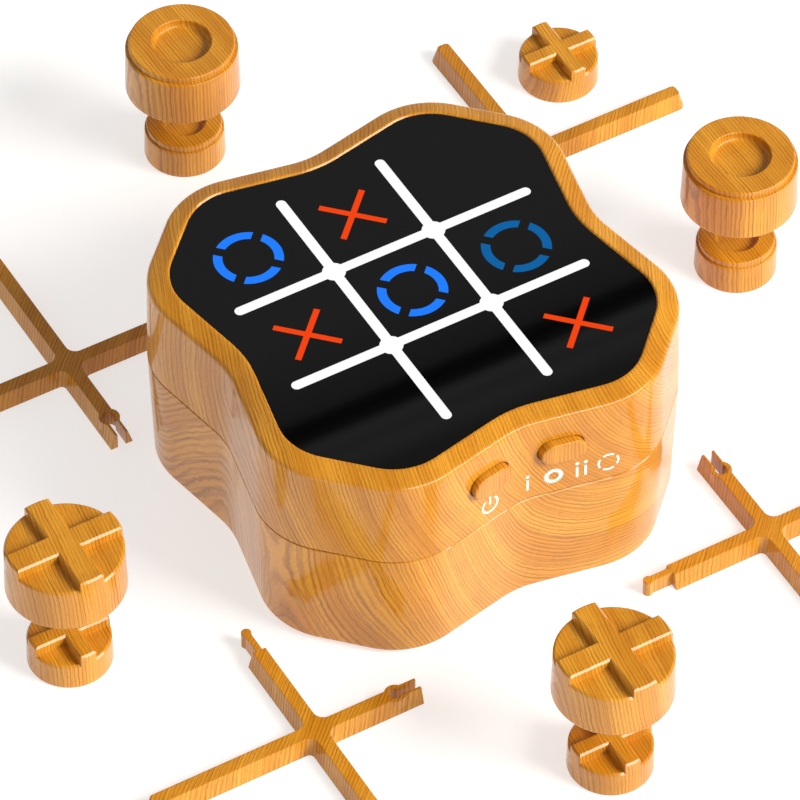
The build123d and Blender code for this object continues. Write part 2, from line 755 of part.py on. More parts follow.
# ------------------------------------------------------------------ speaker, main board and feet
speaker_plane = Plane(origin=(speaker_x, speaker_y, floor_top), x_dir=(1, 0, 0), z_dir=(0, -1, 0))
speaker_axis = Axis((speaker_x, speaker_y, floor_top), (0, 0, 1))

with BuildPart() as speaker:
    with BuildSketch(speaker_plane):
        with BuildLine():
            Polyline(*basket_section, (0, speaker_height), close=True)
        make_face()
    revolve(axis=speaker_axis)
save(speaker.part, "speaker")

with BuildPart() as speaker_cone:
    with BuildSketch(speaker_plane):
        with BuildLine():
            Polyline(*cone_section, close=True)
        make_face()
    revolve(axis=speaker_axis)
save(speaker_cone.part, "speaker_cone")

with BuildPart() as main_board:
    with BuildSketch(Plane.XY.offset(board_level)):
        with Locations((0, board_centre_y)):
            RectangleRounded(board_length, board_depth, board_corner)
        with Locations(*board_posts):
            Circle(small_pilot_radius + snug, mode=Mode.SUBTRACT)
    extrude(amount=board_thickness)
save(main_board.part, "main_board")

board_top = board_level + board_thickness
with BuildPart() as controller_chip:
    with Locations((chip_x, board_centre_y, board_top)):
        Box(chip_side, chip_side, chip_height, align=(Align.CENTER, Align.CENTER, Align.MIN))
    chamfer(controller_chip.edges().group_by(Axis.Z)[-1], length=chip_bevel)
save(controller_chip.part, "controller_chip")

connector_y = board_centre_y + board_depth / 2 - connector_inset
with BuildPart() as board_connectors:
    with Locations(*[(x, connector_y, board_top) for x in connector_x]):
        Box(connector_length, connector_width, connector_height,
            align=(Align.CENTER, Align.CENTER, Align.MIN))
    with Locations(*[(x, connector_y, board_top + connector_height) for x in connector_x]):
        Box(connector_length - 2 * connector_wall, connector_width - 2 * connector_wall, connector_depth,
            align=(Align.CENTER, Align.CENTER, Align.MAX), mode=Mode.SUBTRACT)
save(board_connectors.part, "board_connectors")

with BuildPart() as rubber_feet:
    with BuildSketch():
        with Locations(*[(sx * foot_x, sy * foot_y) for sx, sy in four_signs]):
            Circle(foot_radius)
    extrude(amount=foot_height)
    chamfer(edges_at(rubber_feet, 0), length=foot_bevel)
save(rubber_feet.part, "rubber_feet")

# ------------------------------------------------------------------ loose grid crosses
draft = math.degrees(math.atan2(bar_base_width - bar_top_width, 2 * bar_height))
bulb_place = joint_arm + tab_reach
cavity_place = joint_arm - tab_reach


def grid_cross():
    """One cross: plain arms towards -X and -Y, a socket at the end of +X and a tab at the end of +Y."""
    with BuildPart() as body:
        with BuildSketch() as plan:
            Rectangle(2 * plain_arm, bar_base_width)
            Rectangle(bar_base_width, 2 * plain_arm)
            inner = plan.vertices().filter_by(lambda corner: abs(abs(corner.X) - abs(corner.Y)) < same_place)
            fillet(inner, radius=bar_inner_round)
            outer = plan.vertices().filter_by(
                lambda corner: max(abs(corner.X), abs(corner.Y)) > plain_arm - same_place)
            fillet(outer, radius=bar_corner_round)
        extrude(amount=bar_height, taper=draft)
        # cut the two jointed arms square
        with BuildSketch():
            with Locations((joint_arm, 0)):
                Rectangle(plain_arm, 2 * bar_base_width, align=(Align.MIN, Align.CENTER))
            with Locations((0, joint_arm)):
                Rectangle(2 * bar_base_width, plain_arm, align=(Align.CENTER, Align.MIN))
        extrude(amount=bar_height, mode=Mode.SUBTRACT)
        # tab: thin tongue with a round bulb; socket: round boss with the matching cavity and slot
        with BuildSketch():
            with Locations((0, joint_arm - tongue_root)):
                Rectangle(tongue_width, tab_reach + tongue_root, align=(Align.CENTER, Align.MIN))
            with Locations((0, bulb_place)):
                Circle(bulb_radius)
            with Locations((cavity_place, 0)):
                Circle(bulb_radius + running + socket_wall)
        extrude(amount=bar_height)
        with BuildSketch():
            with Locations((cavity_place, 0)):
                Circle(bulb_radius + running)
            with Locations((cavity_place, 0)):
                Rectangle(2 * tab_reach, tongue_width + 2 * running, align=(Align.MIN, Align.CENTER))
        extrude(amount=bar_height, mode=Mode.SUBTRACT)
    return body.part


cross_part = grid_cross()
for cross_name, (x, y, quarter_turns) in cross_places.items():
    with BuildPart() as placed_cross:
        with Locations(Location((x, y, 0), (0, 0, 90 * quarter_turns))):
            add(cross_part)
    save(placed_cross.part, cross_name)


# ------------------------------------------------------------------ round pieces
def hollow_under(size):
    """Half section of the hollow under a round piece, open at the foot."""
    with BuildSketch(Plane.XZ) as section:
        with BuildLine():
            FilletPolyline((size["hollow"], -cut_over), (size["hollow"], size["hollow_depth"]),
                           (0, size["hollow_depth"]), radius=hollow_round)
            Line((0, size["hollow_depth"]), (0, -cut_over))
            Line((0, -cut_over), (size["hollow"], -cut_over))
        make_face()
    return section.sketch


def nought_piece(size):
    """A drafted drum with a stepped top disc and a round dish."""
    with BuildPart() as body:
        with BuildSketch(Plane.XZ):
            with BuildLine():
                Polyline((0, 0), (size["foot"], 0), (size["shoulder"], size["side_o"]),
                         (size["disc"], size["side_o"]), (size["disc"], size["height"]),
                         (0, size["height"]), close=True)
            make_face()
        revolve(axis=Axis.Z)
        fillet(edges_at(body, 0) + edges_at(body, size["height"]), radius=piece_edge)
        shoulder = edges_at(body, size["side_o"]).sort_by(lambda edge: edge.length)[-1]
        fillet(shoulder, radius=shoulder_round)
        with BuildSketch(Plane.XY.offset(size["height"])):
            Circle(size["dish"])
        extrude(amount=-size["dish_depth"], mode=Mode.SUBTRACT)
        fillet(edges_at(body, size["height"] - size["dish_depth"]), radius=dish_round)
        rim = edges_at(body, size["height"]).sort_by(lambda edge: edge.length)[0]
        fillet(rim, radius=dish_rim_round)
        add(hollow_under(size))
        revolve(axis=Axis.Z, mode=Mode.SUBTRACT)
    return body.part


def cross_piece(size):
    """A drafted drum whose top carries a raised cross of two bars that run out to the side."""
    lean = (size["foot"] - size["shoulder"]) / size["side_x"]
    with BuildPart() as body:
        Cone(size["foot"], size["foot"] - lean * size["height"], size["height"],
             align=(Align.CENTER, Align.CENTER, Align.MIN))
        with BuildSketch(Plane.XY.offset(size["side_x"])):
            Circle(size["foot"] + cut_over)
            Rectangle(3 * size["foot"], size["bar"], mode=Mode.SUBTRACT)
            Rectangle(size["bar"], 3 * size["foot"], mode=Mode.SUBTRACT)
        extrude(amount=size["height"], mode=Mode.SUBTRACT)
        chamfer(edges_at(body, size["height"]), length=piece_edge)
        rims = edges_at(body, size["side_x"]).filter_by(GeomType.CIRCLE)
        chamfer(rims, length=piece_edge)
        fillet(edges_at(body, 0), radius=piece_edge)
        add(hollow_under(size))
        revolve(axis=Axis.Z, mode=Mode.SUBTRACT)
    return body.part


def place_piece(part, name, x, y, lift=0.0):
    """Copy a round piece to its place on the table, or lifted above it."""
    with BuildPart() as placed:
        with Locations((x, y, lift)):
            add(part)
    save(placed.part, name)


large_nought = nought_piece(large_piece)
small_nought = nought_piece(small_piece)
large_cross = cross_piece(large_piece)
small_cross = cross_piece(small_piece)

for place, (x, y, lift) in nought_places.items():
    place_piece(small_nought, f"small_nought_{place}", x, y)
    place_piece(large_nought, f"large_nought_{place}", x, y, lift)
for place, (x, y, lift) in cross_piece_places.items():
    place_piece(small_cross, f"small_cross_{place}", x, y)
    place_piece(large_cross, f"large_cross_{place}", x, y, lift)
place_piece(small_cross, "small_cross_back", *spare_cross_place)
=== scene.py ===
import bpy
import math
import numpy as np
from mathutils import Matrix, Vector


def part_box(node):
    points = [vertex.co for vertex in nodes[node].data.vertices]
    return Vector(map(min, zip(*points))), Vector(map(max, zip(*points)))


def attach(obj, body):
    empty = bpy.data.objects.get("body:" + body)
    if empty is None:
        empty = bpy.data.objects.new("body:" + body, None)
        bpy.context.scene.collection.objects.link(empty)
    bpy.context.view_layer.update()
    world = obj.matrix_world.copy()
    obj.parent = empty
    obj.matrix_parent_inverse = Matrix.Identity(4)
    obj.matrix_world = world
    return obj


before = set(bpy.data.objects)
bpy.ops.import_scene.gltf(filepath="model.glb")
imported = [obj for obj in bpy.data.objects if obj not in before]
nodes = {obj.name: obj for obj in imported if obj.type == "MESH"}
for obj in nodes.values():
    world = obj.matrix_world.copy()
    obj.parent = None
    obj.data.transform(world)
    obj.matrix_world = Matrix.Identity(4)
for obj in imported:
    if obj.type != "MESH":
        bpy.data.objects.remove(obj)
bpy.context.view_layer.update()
mm = 0.001
print("frame loaded:", len(nodes), "nodes")


viewpoint = {
    "place": (-0.519918, -0.894356, 1.163030),
    "tilt": 42.130,        # degrees from straight down
    "turn": -30.013,       # degrees round the upright
    "lens": 302.2,
    "sensor": 36.0,
    "farEnd": 20.0,
}


def placeCamera():
    data = bpy.data.cameras.new("studioCamera")
    data.lens = viewpoint["lens"]
    data.sensor_width = viewpoint["sensor"]
    data.clip_end = viewpoint["farEnd"]
    camera = bpy.data.objects.new("studioCamera", data)
    bpy.context.scene.collection.objects.link(camera)
    camera.location = viewpoint["place"]
    camera.rotation_euler = (math.radians(viewpoint["tilt"]), 0, math.radians(viewpoint["turn"]))
    bpy.context.scene.camera = camera


placeCamera()
bpy.context.scene.view_settings.view_transform = "Standard"
print("camera placed")


class Flow:
    # a socket inside a material; the usual operators add Math nodes
    def __init__(self, recipe, socket):
        self.recipe = recipe
        self.socket = socket

    def __add__(self, other):
        return self.recipe.maths("ADD", self, other)

    def __radd__(self, other):
        return self.recipe.maths("ADD", other, self)

    def __sub__(self, other):
        return self.recipe.maths("SUBTRACT", self, other)

    def __rsub__(self, other):
        return self.recipe.maths("SUBTRACT", other, self)

    def __mul__(self, other):
        return self.recipe.maths("MULTIPLY", self, other)

    def __rmul__(self, other):
        return self.recipe.maths("MULTIPLY", other, self)

    def __truediv__(self, other):
        return self.recipe.maths("DIVIDE", self, other)

    def __rtruediv__(self, other):
        return self.recipe.maths("DIVIDE", other, self)


# what the recipes call the shader's sockets
shaderSockets = {
    "colour": "Base Color",
    "metal": "Metallic",
    "rough": "Roughness",
    "normal": "Normal",
    "specular": "Specular IOR Level",
    "coat": "Coat Weight",
    "coatRough": "Coat Roughness",
    "glow": "Emission Color",
    "glowStrength": "Emission Strength",
}


class Recipe:
    # the node tree of one material, or of the air round the set
    def __init__(self, owner):
        self.owner = bpy.data.materials.new(owner) if isinstance(owner, str) else owner
        self.owner.use_nodes = True
        self.tree = self.owner.node_tree
        self.tree.nodes.clear()

    def node(self, kind, settings=None, inputs=None):
        made = self.tree.nodes.new(kind)
        for key, value in (settings or {}).items():
            if key == "stops":
                self.setStops(made.color_ramp.elements, value)
            else:
                setattr(made, key, value)
        for key, value in (inputs or {}).items():
            self.feed(made, key, value)
        return made

    def setStops(self, ramp, stops):
        while len(ramp) < len(stops):
            ramp.new(0.5)
        for element, (place, level) in zip(ramp, stops):
            element.position = place
            element.color = (level, level, level, 1.0)

    def feed(self, made, key, value):
        if isinstance(key, int):
            socket = made.inputs[key]
        else:
            socket = next(s for s in made.inputs if s.enabled and key in (s.name, s.identifier))
        if isinstance(value, Flow):
            self.tree.links.new(value.socket, socket)
        elif hasattr(value, "__len__") and len(value) == 3 and socket.type == "RGBA":
            socket.default_value = (*value, 1.0)
        else:
            socket.default_value = value

    def flow(self, made, key=0):
        if isinstance(key, int):
            return Flow(self, made.outputs[key])
        return Flow(self, next(s for s in made.outputs if s.enabled and key in (s.name, s.identifier)))

    def maths(self, operation, *values):
        return self.flow(self.node("ShaderNodeMath", {"operation": operation}, dict(enumerate(values))))

    def vectors(self, operation, *values, scale=None):
        made = self.node("ShaderNodeVectorMath", {"operation": operation}, dict(enumerate(values)))
        if scale is not None:
            self.feed(made, "Scale", scale)
        return self.flow(made, "Value" if operation in ("LENGTH", "DOT_PRODUCT") else "Vector")

    def mix(self, factor, first, second):
        made = self.node("ShaderNodeMix", {"data_type": "RGBA"},
                         {"Factor_Float": factor, "A_Color": first, "B_Color": second})
        return self.flow(made, "Result_Color")

    def place(self):
        return self.flow(self.node("ShaderNodeTexCoord"), "Object")

    def split(self, where):
        parts = self.node("ShaderNodeSeparateXYZ", {}, {0: where})
        return [self.flow(parts, axis) for axis in "XYZ"]

    def noise(self, where, scale, detail=2.0, roughness=0.5, colour=False):
        made = self.node("ShaderNodeTexNoise", {},
                         {"Vector": where, "Scale": scale, "Detail": detail, "Roughness": roughness})
        return self.flow(made, "Color" if colour else "Fac")

    def bands(self, along, detail):
        # irregular stripes along one number
        made = self.node("ShaderNodeTexNoise", {"noise_dimensions": "1D"},
                         {"W": along, "Scale": 1.0, "Detail": detail, "Roughness": 0.5})
        return self.flow(made, "Fac")

    def between(self, value, low, high, easing="SMOOTHSTEP"):
        # 0 below low, 1 above high
        made = self.node("ShaderNodeMapRange", {"interpolation_type": easing},
                         {"Value": value, "From Min": low, "From Max": high})
        return self.flow(made, "Result")

    def bump(self, height, strength, distance, over=None):
        made = self.node("ShaderNodeBump", {}, {"Height": height, "Strength": strength, "Distance": distance})
        if over is not None:
            self.feed(made, "Normal", over)
        return self.flow(made, "Normal")

    def softEdges(self, radius, samples):
        # a sanded edge: near it the normal turns from one face to the other
        return self.flow(self.node("ShaderNodeBevel", {"samples": samples}, {"Radius": radius}), "Normal")

    def finish(self, **surface):
        shader = self.node("ShaderNodeBsdfPrincipled")
        for key, value in surface.items():
            self.feed(shader, shaderSockets[key], value)
        out = self.node("ShaderNodeOutputMaterial")
        self.tree.links.new(shader.outputs[0], out.inputs["Surface"])
        return self.owner


floorSet = {
    "reach": 4.0,
    "colour": (0.50, 0.495, 0.49),
    "shade": (0.45, 0.45, 0.45),
    "tooth": 0.1,              # how much of the shade the paper's tooth brings in
    "toothScale": 400.0,
    "rough": 0.8,
    "specular": 0.15,
    "glow": (1.0, 0.985, 0.975),
    "glowStrength": 0.64,
}


def layFloor():
    reach = floorSet["reach"]
    mesh = bpy.data.meshes.new("studioFloor")
    mesh.from_pydata([(-reach, -reach, 0), (reach, -reach, 0), (reach, reach, 0), (-reach, reach, 0)],
                     [], [(0, 1, 2, 3)])
    floor = bpy.data.objects.new("studioFloor", mesh)
    bpy.context.scene.collection.objects.link(floor)
    r = Recipe("palePaper")
    tooth = r.noise(r.place(), floorSet["toothScale"]) * floorSet["tooth"]
    mesh.materials.append(r.finish(colour=r.mix(tooth, floorSet["colour"], floorSet["shade"]),
                                   glow=floorSet["glow"], glowStrength=floorSet["glowStrength"],
                                   rough=floorSet["rough"], specular=floorSet["specular"]))


airSet = {
    "colour": (1.0, 0.99, 0.975),
    "zenith": 0.30,            # brightness straight up
    "horizon": 0.75,
    "blend": (0.0, 0.8),       # rise over which one turns into the other
    "gloss": 0.27,             # brightness of the air as gloss sees it
    # soft bars that the screen mirrors: place across the glass, brightness
    "bars": [
        (-46.0 * mm, 0.62), (-44.0 * mm, 0.58), (-39.5 * mm, 0.95), (-38.0 * mm, 1.05), (-34.5 * mm, 0.86),
        (-32.0 * mm, 1.12), (-30.5 * mm, 0.85), (-29.0 * mm, 0.16), (-26.2 * mm, 0.03), (-24.0 * mm, 0.12),
        (-22.0 * mm, 0.55), (-18.0 * mm, 0.66), (-9.0 * mm, 0.82), (0.0, 0.97), (30.0 * mm, 1.0),
    ],
}


def lightAir():
    # the air is brighter low down; mirrored in gloss it is dim, with soft bars along the set's X axis
    world = bpy.data.worlds.new("studioAir")
    bpy.context.scene.world = world
    r = Recipe(world)
    heading = r.flow(r.node("ShaderNodeTexCoord"), "Generated")
    rise = r.split(heading)[2]
    low = 1.0 - r.between(rise, *airSet["blend"])
    fill = airSet["zenith"] + (airSet["horizon"] - airSet["zenith"]) * low
    # from the viewpoint, the glass mirrors a bar at y along the slope of (mirrored + y)
    eye = np.array(viewpoint["place"]) - np.array([0.0, 0.0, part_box("screen_lens")[1][2]])
    mirrored = np.array([-eye[0], -eye[1], eye[2]])
    across = np.cross(mirrored, (1.0, 0.0, 0.0))
    across = across / np.linalg.norm(across)
    places = np.array([place for place, _ in airSet["bars"]])
    levels = np.array([level for _, level in airSet["bars"]])
    ways = mirrored + places[:, None] * np.array([0.0, 1.0, 0.0])
    slopes = ways @ across / np.linalg.norm(ways, axis=1)
    first, last, top = float(slopes[0]), float(slopes[-1]), float(levels.max())
    stops = list(zip(((slopes - first) / (last - first)).tolist(), (levels / top).tolist()))
    slant = r.vectors("DOT_PRODUCT", heading, tuple(across))
    share = r.between(slant, first, last, easing="LINEAR")
    pattern = r.flow(r.node("ShaderNodeValToRGB", {"stops": stops}, {"Fac": share}), "Color") * top
    gloss = r.flow(r.node("ShaderNodeLightPath"), "Is Glossy Ray")
    strength = fill * (1.0 - gloss) + gloss * (pattern * airSet["gloss"])
    background = r.node("ShaderNodeBackground", {}, {"Color": airSet["colour"], "Strength": strength})
    out = r.node("ShaderNodeOutputWorld")
    r.tree.links.new(background.outputs[0], out.inputs["Surface"])


panelSet = {
    "aim": (0.0, 0.0, 0.02),
    "colour": (1.0, 0.98, 0.95),
    # the key lights surfaces and leaves no highlight
    "keyPanel": {"place": (0.95, -1.24, 1.14), "size": (0.9, 0.9), "power": 56.0, "inGloss": False,
                 "onSurfaces": True},
    # the glint shows in gloss alone, on front edges turned halfway up
    "glintPanel": {"place": (0.63, -1.42, 1.09), "size": (2.4, 0.45), "power": 40.0, "inGloss": True,
                   "onSurfaces": False},
}


def hangPanel(name):
    panel = panelSet[name]
    data = bpy.data.lights.new(name, "AREA")
    data.shape = "RECTANGLE"
    data.size, data.size_y = panel["size"]
    data.energy = panel["power"]
    data.color = panelSet["colour"]
    lamp = bpy.data.objects.new(name, data)
    bpy.context.scene.collection.objects.link(lamp)
    lamp.visible_glossy = panel["inGloss"]
    lamp.visible_diffuse = panel["onSurfaces"]
    lamp.location = panel["place"]
    facing = Vector(panelSet["aim"]) - Vector(panel["place"])
    lamp.rotation_euler = facing.to_track_quat("-Z", "Y").to_euler()


layFloor()
lightAir()
hangPanel("keyPanel")
hangPanel("glintPanel")
print("floor and lights set")


woodLook = {
    "pale": (0.74, 0.330, 0.024),
    "golden": (0.63, 0.250, 0.011),
    "amber": (0.46, 0.155, 0.004),
    "line": (0.27, 0.082, 0.003),
    "lineGap": 0.85 * mm,      # from one growth ring to the next
    "lineStrength": 0.86,
    "lineSpread": (0.20, 0.90),    # the weakest line, and how much stronger others are
    "lineRise": (0.38, 0.84),  # share of a ring over which it darkens, then falls back
    "lineFall": (0.86, 1.0),
    "jag": 0.50,               # how far lines wander, in rings: finely and broadly
    "jagScale": 420.0,
    "swell": 1.6,
    "swellScale": 75.0,
    "patchRange": (0.35, 0.62),    # lines fade in patches
    "patchScale": 190.0,
    "patchSpread": (0.55, 0.45),
    "hairGap": 0.31 * mm,      # fine lines between the rings
    "hairJag": 1.2,
    "hairRange": (0.50, 0.64),
    "hairStrength": 0.42,
    "fibreScale": 1500.0,      # short flecks, long along the grain
    "fibreStretch": 1350.0,
    "fibreRange": (0.50, 0.80),
    "fibreStrength": 0.20,
    "broadRings": 7.0,         # rings in one broad band of colour
    "broadRange": (0.30, 0.70),
    "cloudScale": 17.0,        # darker clouds
    "cloudRange": (0.45, 0.70),
    "cloudStrength": 0.45,
    "waveSize": 50.0 * mm,     # slow bends of the rings, and their depth
    "waveDepth": 3.0 * mm,
    "rough": 0.42,
    "lineRough": 0.08,
    "specular": 0.22,
    "coat": 0.75,
    "coatRough": 0.09,
    "relief": 0.12,
    "reliefDepth": 0.08 * mm,
    "reliefShares": (0.6, 0.4),    # of the lines and of the flecks
    "sanding": 0.45 * mm,      # radius of the softened edges
    "sandingSamples": 6,
}

# where each wood's rings have their axis, which way it runs, and what differs from woodLook
woodCuts = {
    "upperShellWood": {"centre": (0.0659, -0.0016, 0.0365), "direction": (0.296, 0.815, -0.498), "seed": 0.3},
    "lowerShellWood": {"centre": (0.0200, 0.0088, 0.0032), "direction": (-0.141, 0.609, -0.781), "seed": 1.7,
                       "waveDepth": 2.0 * mm, "lineGap": 0.66 * mm},
    "gridBarWood": {"centre": (-1.4, 1.4, 0.0), "direction": (0.0, 0.0, 1.0), "seed": 2.3,
                    "waveDepth": 1.2 * mm},
    "noughtWood": {"centre": (-2.0, 0.0, 0.0), "direction": (0.0, 0.0, 1.0), "seed": 3.1,
                   "waveDepth": 1.6 * mm},
    "crossPieceWood": {"centre": (-0.3, 0.10, 0.05), "direction": (0.1, 1.0, 0.35), "seed": 4.9,
                       "waveDepth": 2.0 * mm},
    "buttonWood": {"centre": (-2.0, 0.0, 0.0), "direction": (0.0, 0.0, 1.0), "seed": 5.3,
                   "waveDepth": 0.5 * mm},
}


def makeWood(name):
    # growth rings are tubes round a line: the ring number is the distance of the bent point from that line,
    # over the gap; its fraction rises from pale early wood to a thin dark line.
    # the odd factors on the seed keep one pattern from following another
    look = {**woodLook, **woodCuts[name]}
    seed = look["seed"]
    r = Recipe(name)
    direction = np.array(look["direction"], float) / np.linalg.norm(look["direction"])
    spot = r.vectors("ADD", r.place(), (seed, seed * 0.7, -seed * 0.4))
    drift = r.noise(spot, 1.0 / look["waveSize"], detail=1.0, roughness=0.4, colour=True)
    bend = r.vectors("SCALE", r.vectors("SUBTRACT", drift, (0.5, 0.5, 0.5)), scale=look["waveDepth"])
    away = r.vectors("SUBTRACT", r.vectors("ADD", r.place(), bend), look["centre"])
    ring = r.vectors("LENGTH", r.vectors("CROSS_PRODUCT", away, tuple(direction)))
    jag = r.noise(spot, look["jagScale"], roughness=0.6)
    swell = r.noise(spot, look["swellScale"], detail=1.0)
    count = ring / look["lineGap"] + look["jag"] * jag + look["swell"] * swell
    step = r.maths("FRACT", count)
    # which ring it is, as a steady number, sets how strong that ring's line is
    which = r.bands(r.maths("FLOOR", count) * 3.7 + seed * 11.0, detail=0.0)
    late = r.between(step, *look["lineRise"]) * (1.0 - r.between(step, *look["lineFall"]))
    hair = r.bands(ring / look["hairGap"] + look["hairJag"] * jag + seed * 5.0, detail=1.0)
    patchy = r.between(r.noise(spot, look["patchScale"]), *look["patchRange"])
    along = r.vectors("DOT_PRODUCT", spot, tuple(direction * -look["fibreStretch"]))
    fibreSpot = r.vectors("ADD", r.vectors("SCALE", spot, scale=look["fibreScale"]),
                          r.vectors("SCALE", tuple(direction), scale=along))
    fibre = r.noise(fibreSpot, 1.0, detail=1.0)
    broad = r.bands(ring / (look["broadRings"] * look["lineGap"]) + seed * 37.0, detail=1.0)
    cloud = r.noise(spot, look["cloudScale"], roughness=0.55)
    weakest, gain = look["lineSpread"]
    faded, full = look["patchSpread"]
    lines = late * (look["lineStrength"] * (weakest + gain * which)) * (faded + full * patchy)
    ground = r.mix(r.between(broad, *look["broadRange"]), look["pale"], look["golden"])
    ground = r.mix(r.between(cloud, *look["cloudRange"]) * look["cloudStrength"], ground, look["amber"])
    ground = r.mix(lines, ground, look["line"])
    ground = r.mix(r.between(hair, *look["hairRange"]) * look["hairStrength"], ground, look["line"])
    ground = r.mix(r.between(fibre, *look["fibreRange"]) * look["fibreStrength"], ground, look["line"])
    height = 1.0 - look["reliefShares"][0] * late - look["reliefShares"][1] * fibre
    edges = r.softEdges(look["sanding"], look["sandingSamples"])
    return r.finish(colour=ground, rough=look["rough"] + look["lineRough"] * late,
                    normal=r.bump(height, look["relief"], look["reliefDepth"], over=edges),
                    coat=look["coat"], coatRough=look["coatRough"], specular=look["specular"])


lensLook = {
    "colour": (0.0008, 0.0008, 0.0009),
    "second": (0.0016, 0.0015, 0.0014),
    "hazeScale": 14.0,
    "dustScale": 900.0,
    "rough": 0.008,
    "hazeRough": 0.008,
    "dustRough": 0.004,
    "specular": 0.5,
}


def makeBlackLens():
    r = Recipe("smokedLens")
    dust = r.noise(r.place(), lensLook["dustScale"], detail=1.0)
    haze = r.noise(r.place(), lensLook["hazeScale"])
    return r.finish(colour=r.mix(haze, lensLook["colour"], lensLook["second"]), specular=lensLook["specular"],
                    rough=lensLook["rough"] + lensLook["hazeRough"] * haze + lensLook["dustRough"] * dust)


glowLook = {
    "strength": 1.0,
    "bodyShares": (0.06, 0.04),    # the unlit colour, as shares of the glow
    "softScale": 160.0,
    "rough": 0.22,
    "softRough": 0.05,
    "specular": 0.2,
    # colour of the light, and how much it dims in places
    "whiteGlow": ((0.95, 0.95, 0.95), 0.03),
    "blueGlow": ((0.012, 0.202, 1.0), 0.06),
    "dimBlueGlow": ((0.001, 0.115, 0.36), 0.06),
    "redGlow": ((0.88, 0.054, 0.002), 0.06),
}


def makeGlow(name):
    colour, mottle = glowLook[name]
    r = Recipe(name)
    soft = r.noise(r.place(), glowLook["softScale"])
    darker, darkest = (tuple(c * share for c in colour) for share in glowLook["bodyShares"])
    dim = tuple(c * (1 - mottle) for c in colour)
    return r.finish(colour=r.mix(soft, darker, darkest), glow=r.mix(soft, dim, colour),
                    glowStrength=glowLook["strength"], specular=glowLook["specular"],
                    rough=glowLook["rough"] + glowLook["softRough"] * soft)


mouldedLook = {
    "rough": 0.45,
    "roughSpread": (-0.05, 0.1),   # lowest change of roughness, and its span
    "coat": 0.0,
    "toneScale": 60.0,
    "speckScale": 900.0,
    "relief": 0.05,
    "reliefDepth": 0.05 * mm,
}

# two tones that drift into each other, and what differs from mouldedLook
mouldings = {
    "clearFilm": {"tones": ((0.35, 0.36, 0.34), (0.30, 0.31, 0.30)), "rough": 0.2, "coat": 0.5},
    "whitePlastic": {"tones": ((0.80, 0.80, 0.78), (0.74, 0.74, 0.72))},
    "ledResin": {"tones": ((0.75, 0.70, 0.50), (0.65, 0.62, 0.45)), "rough": 0.25, "coat": 0.4},
    "chipResin": {"tones": ((0.018, 0.018, 0.02), (0.028, 0.028, 0.03)), "rough": 0.55},
    "switchPlastic": {"tones": ((0.03, 0.03, 0.032), (0.045, 0.045, 0.047)), "rough": 0.4},
    "doorPlastic": {"tones": ((0.50, 0.235, 0.055), (0.44, 0.20, 0.045)), "rough": 0.5, "relief": 0.12},
    "footRubber": {"tones": ((0.02, 0.02, 0.02), (0.03, 0.03, 0.03)), "rough": 0.8, "relief": 0.2},
    "whiteInk": {"tones": ((0.92, 0.91, 0.90), (0.86, 0.85, 0.84)), "rough": 0.35, "relief": 0.02,
                 "coat": 0.3},
}


def makeMoulded(name):
    look = {**mouldedLook, **mouldings[name]}
    r = Recipe(name)
    tone = r.noise(r.place(), look["toneScale"], detail=3.0)
    speck = r.noise(r.place(), look["speckScale"])
    lowest, span = look["roughSpread"]
    return r.finish(colour=r.mix(tone, *look["tones"]), rough=look["rough"] + lowest + span * speck,
                    normal=r.bump(speck, look["relief"], look["reliefDepth"]), coat=look["coat"])


circuitLook = {
    "lacquer": (0.006, 0.055, 0.018),
    "copper": (0.018, 0.14, 0.045),
    "patchScale": 110.0,
    "trackGap": 1.3 * mm,
    "trackEdge": 0.35,         # the higher, the thinner the tracks
    "bare": 0.25,              # share of the patches without tracks
    "turned": 0.5,             # share of the patches whose tracks run the other way
    "rough": 0.30,
    "trackRough": 0.1,
    "relief": 0.4,
    "reliefDepth": 0.04 * mm,
    "coat": 0.4,
    "coatRough": 0.15,
}


def makeCircuit():
    # straight copper tracks under green lacquer, in patches that run one way or the other
    r = Recipe("greenCircuit")
    where = r.place()
    x, y, _ = r.split(where)
    patches = r.node("ShaderNodeTexVoronoi", {"distance": "CHEBYCHEV"},
                     {"Vector": where, "Scale": circuitLook["patchScale"]})
    pick = r.flow(r.node("ShaderNodeSeparateColor", {}, {0: r.flow(patches, "Color")}), "Red")
    choose = r.maths("GREATER_THAN", pick, circuitLook["turned"])
    across = x * choose + y * (1.0 - choose)
    wave = r.maths("SINE", across * (2 * math.pi / circuitLook["trackGap"]))
    mask = (r.maths("GREATER_THAN", wave, circuitLook["trackEdge"])
            * r.maths("GREATER_THAN", pick, circuitLook["bare"]))
    return r.finish(colour=r.mix(mask, circuitLook["lacquer"], circuitLook["copper"]),
                    rough=circuitLook["rough"] + circuitLook["trackRough"] * mask,
                    normal=r.bump(mask, circuitLook["relief"], circuitLook["reliefDepth"]),
                    coat=circuitLook["coat"], coatRough=circuitLook["coatRough"])


steelLook = {
    "lineScale": 2600.0,
    "lineStretch": (1.0, 0.06, 1.0),
    "stainScale": 180.0,
    "stain": 0.8,              # brightness left where it is stained
    "roughSpread": (-0.05, 0.14),
    "relief": 0.05,
    "reliefDepth": 0.02 * mm,
    # colour and roughness
    "screwSteel": ((0.62, 0.61, 0.60), 0.30),
    "contactMetal": ((0.78, 0.76, 0.70), 0.22),
    "speakerSteel": ((0.32, 0.32, 0.33), 0.35),
}


